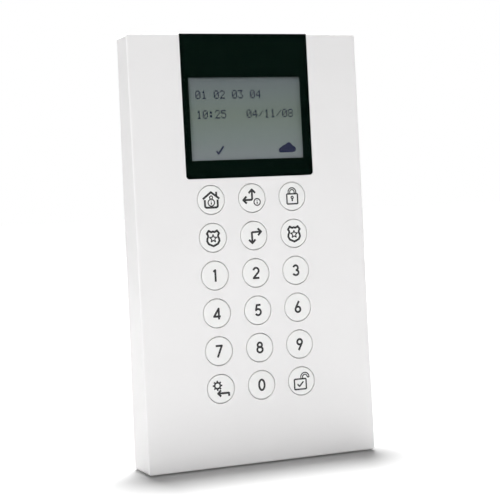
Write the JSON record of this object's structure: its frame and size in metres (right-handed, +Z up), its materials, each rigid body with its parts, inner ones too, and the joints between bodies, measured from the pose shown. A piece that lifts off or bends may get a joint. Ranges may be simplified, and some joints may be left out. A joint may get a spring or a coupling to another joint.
{
  "type": "alarm keypad panel",
  "caption": "Slim wall-mounted alarm keypad: a leaning white shell with a black display lens, round push keys, a rear housing and a wall bracket with a rear tamper plunger.",
  "frame": {"origin": "middle of the wall bracket's back face, on the wall plane", "axes": "+Z up, +X to the right seen from the front, +Y into the wall; the keys face -Y"},
  "size_m": [0.0874, 0.024, 0.1535],
  "materials": {
    "cover_plastic": "fine satin moulding",
    "key_plastic": "fine satin moulding",
    "lens_acrylic": "polished, printed black behind",
    "tape": "matt",
    "foam": "matt foam",
    "display_glass": "polished polariser",
    "frame_plastic": "satin",
    "light_guide": "clear",
    "led_resin": "smooth",
    "flex_film": "smooth",
    "connector_plastic": "satin",
    "board_laminate": "solder mask",
    "chip_resin": "moulded",
    "can_aluminium": "satin",
    "chip_ceramic": "fired",
    "silicone": "matt",
    "carbon_rubber": "matt",
    "terminal_plastic": "satin",
    "plated_steel": "zinc plated",
    "spring_steel": "drawn wire",
    "housing_plastic": "satin"
  },
  "bodies": {
    "panel": {"front_cover": "cover_plastic", "display_lens": "lens_acrylic", "lens_tape": "tape", "display_gasket": "foam", "lcd_glass": "display_glass", "lcd_frame": "frame_plastic", "backlight_panel": "light_guide", "backlight_leds": "led_resin", "lcd_flex": "flex_film", "flex_connector": "connector_plastic", "main_board": "board_laminate", "board_chips": "chip_resin", "board_capacitors": "can_aluminium", "board_passives": "chip_ceramic", "keypad_mat": "silicone", "contact_pills": "carbon_rubber", "key_leds": "led_resin", "buzzer": "chip_resin", "terminal_block": "terminal_plastic", "terminal_clamps": "plated_steel", "terminal_screws": "plated_steel", "tamper_switch": "chip_resin", "tamper_spring": "spring_steel", "housing_screws": "plated_steel", "board_screws": "plated_steel", "rear_housing": "housing_plastic", "locking_screw": "plated_steel", "wall_bracket": "housing_plastic"},
    "tamper_plunger": {"tamper_plunger": "housing_plastic"},
    "key_stay": {"key_stay": "key_plastic"},
    "key_browse_info": {"key_browse_info": "key_plastic"},
    "key_arm": {"key_arm": "key_plastic"},
    "key_shield_left": {"key_shield_left": "key_plastic"},
    "key_browse": {"key_browse": "key_plastic"},
    "key_shield_right": {"key_shield_right": "key_plastic"},
    "key_1": {"key_1": "key_plastic"},
    "key_2": {"key_2": "key_plastic"},
    "key_3": {"key_3": "key_plastic"},
    "key_4": {"key_4": "key_plastic"},
    "key_5": {"key_5": "key_plastic"},
    "key_6": {"key_6": "key_plastic"},
    "key_7": {"key_7": "key_plastic"},
    "key_8": {"key_8": "key_plastic"},
    "key_9": {"key_9": "key_plastic"},
    "key_menu_back": {"key_menu_back": "key_plastic"},
    "key_0": {"key_0": "key_plastic"},
    "key_disarm": {"key_disarm": "key_plastic"}
  },
  "joints": [
    {"name": "key_stay_press", "type": "slide", "parent": "panel", "child": "key_stay", "axis": [0, 0.9993, -0.0379], "range_m": [0, 0.0007], "stiffness_N_per_m": 1500, "springref_m": -0.0002, "deforming": ["keypad_mat", "contact_pills"]},
    {"name": "key_browse_info_press", "type": "slide", "parent": "panel", "child": "key_browse_info", "axis": [0, 0.9993, -0.0379], "range_m": [0, 0.0007], "stiffness_N_per_m": 1500, "springref_m": -0.0002, "deforming": ["keypad_mat", "contact_pills"]},
    {"name": "key_arm_press", "type": "slide", "parent": "panel", "child": "key_arm", "axis": [0, 0.9993, -0.0379], "range_m": [0, 0.0007], "stiffness_N_per_m": 1500, "springref_m": -0.0002, "deforming": ["keypad_mat", "contact_pills"]},
    {"name": "key_shield_left_press", "type": "slide", "parent": "panel", "child": "key_shield_left", "axis": [0, 0.9993, -0.0379], "range_m": [0, 0.0007], "stiffness_N_per_m": 1500, "springref_m": -0.0002, "deforming": ["keypad_mat", "contact_pills"]},
    {"name": "key_browse_press", "type": "slide", "parent": "panel", "child": "key_browse", "axis": [0, 0.9993, -0.0379], "range_m": [0, 0.0007], "stiffness_N_per_m": 1500, "springref_m": -0.0002, "deforming": ["keypad_mat", "contact_pills"]},
    {"name": "key_shield_right_press", "type": "slide", "parent": "panel", "child": "key_shield_right", "axis": [0, 0.9993, -0.0379], "range_m": [0, 0.0007], "stiffness_N_per_m": 1500, "springref_m": -0.0002, "deforming": ["keypad_mat", "contact_pills"]},
    {"name": "key_1_press", "type": "slide", "parent": "panel", "child": "key_1", "axis": [0, 0.9993, -0.0379], "range_m": [0, 0.0007], "stiffness_N_per_m": 1500, "springref_m": -0.0002, "deforming": ["keypad_mat", "contact_pills"]},
    {"name": "key_2_press", "type": "slide", "parent": "panel", "child": "key_2", "axis": [0, 0.9993, -0.0379], "range_m": [0, 0.0007], "stiffness_N_per_m": 1500, "springref_m": -0.0002, "deforming": ["keypad_mat", "contact_pills"]},
    {"name": "key_3_press", "type": "slide", "parent": "panel", "child": "key_3", "axis": [0, 0.9993, -0.0379], "range_m": [0, 0.0007], "stiffness_N_per_m": 1500, "springref_m": -0.0002, "deforming": ["keypad_mat", "contact_pills"]},
    {"name": "key_4_press", "type": "slide", "parent": "panel", "child": "key_4", "axis": [0, 0.9993, -0.0379], "range_m": [0, 0.0007], "stiffness_N_per_m": 1500, "springref_m": -0.0002, "deforming": ["keypad_mat", "contact_pills"]},
    {"name": "key_5_press", "type": "slide", "parent": "panel", "child": "key_5", "axis": [0, 0.9993, -0.0379], "range_m": [0, 0.0007], "stiffness_N_per_m": 1500, "springref_m": -0.0002, "deforming": ["keypad_mat", "contact_pills"]},
    {"name": "key_6_press", "type": "slide", "parent": "panel", "child": "key_6", "axis": [0, 0.9993, -0.0379], "range_m": [0, 0.0007], "stiffness_N_per_m": 1500, "springref_m": -0.0002, "deforming": ["keypad_mat", "contact_pills"]},
    {"name": "key_7_press", "type": "slide", "parent": "panel", "child": "key_7", "axis": [0, 0.9993, -0.0379], "range_m": [0, 0.0007], "stiffness_N_per_m": 1500, "springref_m": -0.0002, "deforming": ["keypad_mat", "contact_pills"]},
    {"name": "key_8_press", "type": "slide", "parent": "panel", "child": "key_8", "axis": [0, 0.9993, -0.0379], "range_m": [0, 0.0007], "stiffness_N_per_m": 1500, "springref_m": -0.0002, "deforming": ["keypad_mat", "contact_pills"]},
    {"name": "key_9_press", "type": "slide", "parent": "panel", "child": "key_9", "axis": [0, 0.9993, -0.0379], "range_m": [0, 0.0007], "stiffness_N_per_m": 1500, "springref_m": -0.0002, "deforming": ["keypad_mat", "contact_pills"]},
    {"name": "key_menu_back_press", "type": "slide", "parent": "panel", "child": "key_menu_back", "axis": [0, 0.9993, -0.0379], "range_m": [0, 0.0007], "stiffness_N_per_m": 1500, "springref_m": -0.0002, "deforming": ["keypad_mat", "contact_pills"]},
    {"name": "key_0_press", "type": "slide", "parent": "panel", "child": "key_0", "axis": [0, 0.9993, -0.0379], "range_m": [0, 0.0007], "stiffness_N_per_m": 1500, "springref_m": -0.0002, "deforming": ["keypad_mat", "contact_pills"]},
    {"name": "key_disarm_press", "type": "slide", "parent": "panel", "child": "key_disarm", "axis": [0, 0.9993, -0.0379], "range_m": [0, 0.0007], "stiffness_N_per_m": 1500, "springref_m": -0.0002, "deforming": ["keypad_mat", "contact_pills"]},
    {"name": "tamper_plunger_slide", "type": "slide", "parent": "panel", "child": "tamper_plunger", "axis": [0, 1, 0], "range_m": [0, 0.0012], "stiffness_N_per_m": 200, "springref_m": 0.003, "deforming": ["tamper_spring"]}
  ]
}
